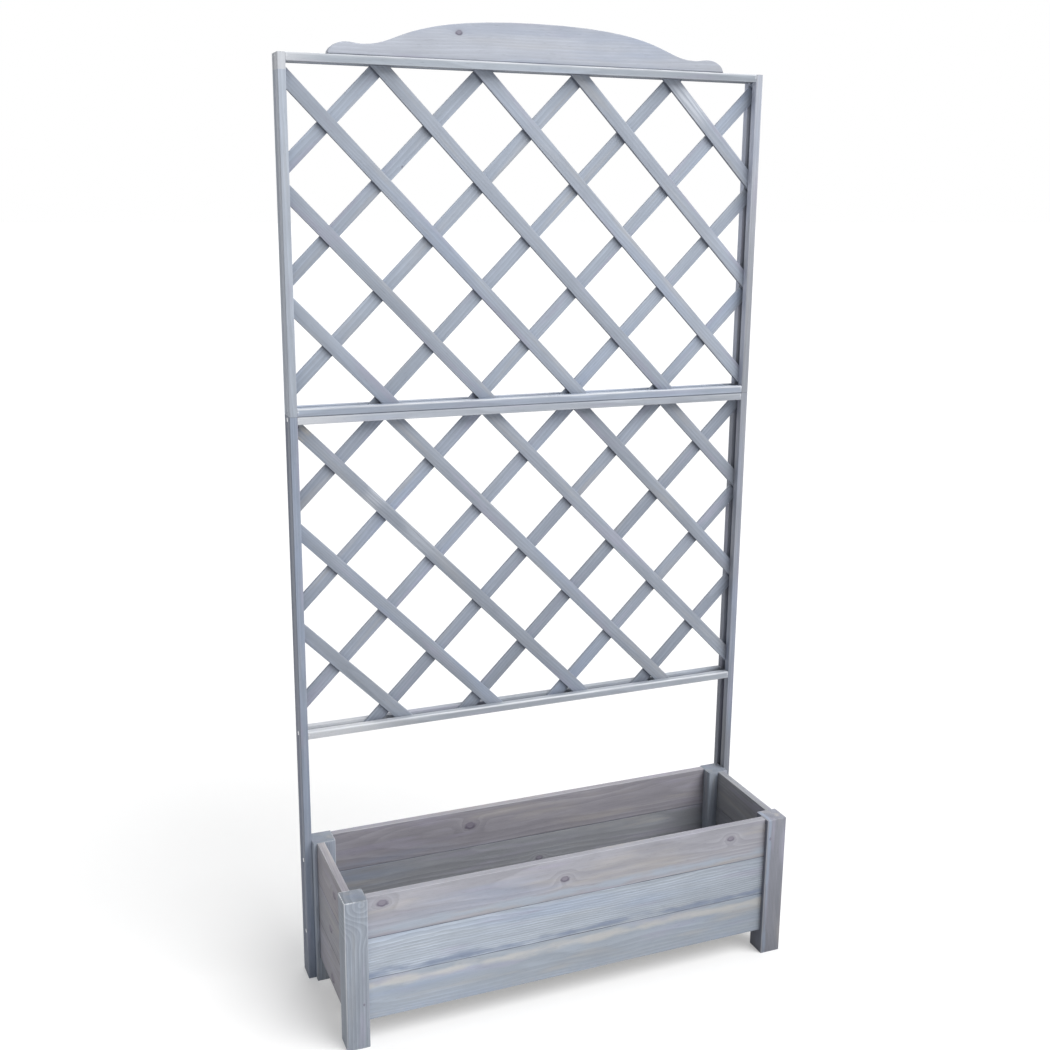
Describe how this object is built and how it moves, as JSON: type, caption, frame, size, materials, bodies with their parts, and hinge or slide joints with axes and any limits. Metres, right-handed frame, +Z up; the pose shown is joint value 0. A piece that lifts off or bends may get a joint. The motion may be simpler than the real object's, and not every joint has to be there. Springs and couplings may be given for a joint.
{
  "type": "planter with trellis",
  "caption": "Floor planter box of stained softwood boards on square legs, with a tall two-panel lattice trellis and an arched crest board at its back.",
  "frame": {"origin": "on the ground, at the middle of the footprint of the whole planter with its trellis", "axes": "+Z up; +X along the planter, to the right of someone who looks at its front; -Y towards the front, +Y towards the trellis side"},
  "size_m": [0.98, 0.305, 1.887],
  "materials": {
    "pale_stain": "pale blue-grey stain, matt",
    "bar_stain": "blue-grey stain, matt, planed",
    "slat_stain": "blue-grey stain, matt",
    "leg_stain": "blue-grey stain, matt, planed",
    "board_stain": "blue-grey stain, matt, planed",
    "floor_stain": "thin grey stain on sawn softwood"
  },
  "bodies": {
    "root": {"leg_front_left": "leg_stain", "leg_front_right": "leg_stain", "leg_rear_left": "leg_stain", "leg_rear_right": "leg_stain", "front_board_1": "board_stain", "front_board_2": "board_stain", "front_board_3": "board_stain", "rear_board_1": "board_stain", "rear_board_2": "board_stain", "rear_board_3": "board_stain", "left_board_1": "board_stain", "left_board_2": "board_stain", "left_board_3": "board_stain", "right_board_1": "board_stain", "right_board_2": "board_stain", "right_board_3": "board_stain", "floor_bearer_1": "floor_stain", "floor_bearer_2": "floor_stain", "floor_bearer_3": "floor_stain", "floor_board_1": "floor_stain", "floor_board_2": "floor_stain", "floor_board_3": "floor_stain", "stile_lower_left": "bar_stain", "stile_upper_left": "bar_stain", "stile_lower_right": "bar_stain", "stile_upper_right": "bar_stain", "rail_lower_bottom": "bar_stain", "rail_lower_top": "bar_stain", "rail_upper_bottom": "bar_stain", "rail_upper_top": "bar_stain", "slat_lower_front_1": "slat_stain", "slat_lower_front_2": "slat_stain", "slat_lower_front_3": "slat_stain", "slat_lower_front_4": "slat_stain", "slat_lower_front_5": "slat_stain", "slat_lower_front_6": "slat_stain", "slat_lower_front_7": "slat_stain", "slat_lower_rear_1": "slat_stain", "slat_lower_rear_2": "slat_stain", "slat_lower_rear_3": "slat_stain", "slat_lower_rear_4": "slat_stain", "slat_lower_rear_5": "slat_stain", "slat_lower_rear_6": "slat_stain", "slat_lower_rear_7": "slat_stain", "slat_upper_front_1": "slat_stain", "slat_upper_front_2": "slat_stain", "slat_upper_front_3": "slat_stain", "slat_upper_front_4": "slat_stain", "slat_upper_front_5": "slat_stain", "slat_upper_front_6": "slat_stain", "slat_upper_front_7": "slat_stain", "slat_upper_rear_1": "slat_stain", "slat_upper_rear_2": "slat_stain", "slat_upper_rear_3": "slat_stain", "slat_upper_rear_4": "slat_stain", "slat_upper_rear_5": "slat_stain", "slat_upper_rear_6": "slat_stain", "slat_upper_rear_7": "slat_stain", "crest_board": "pale_stain"}
  },
  "joints": []
}
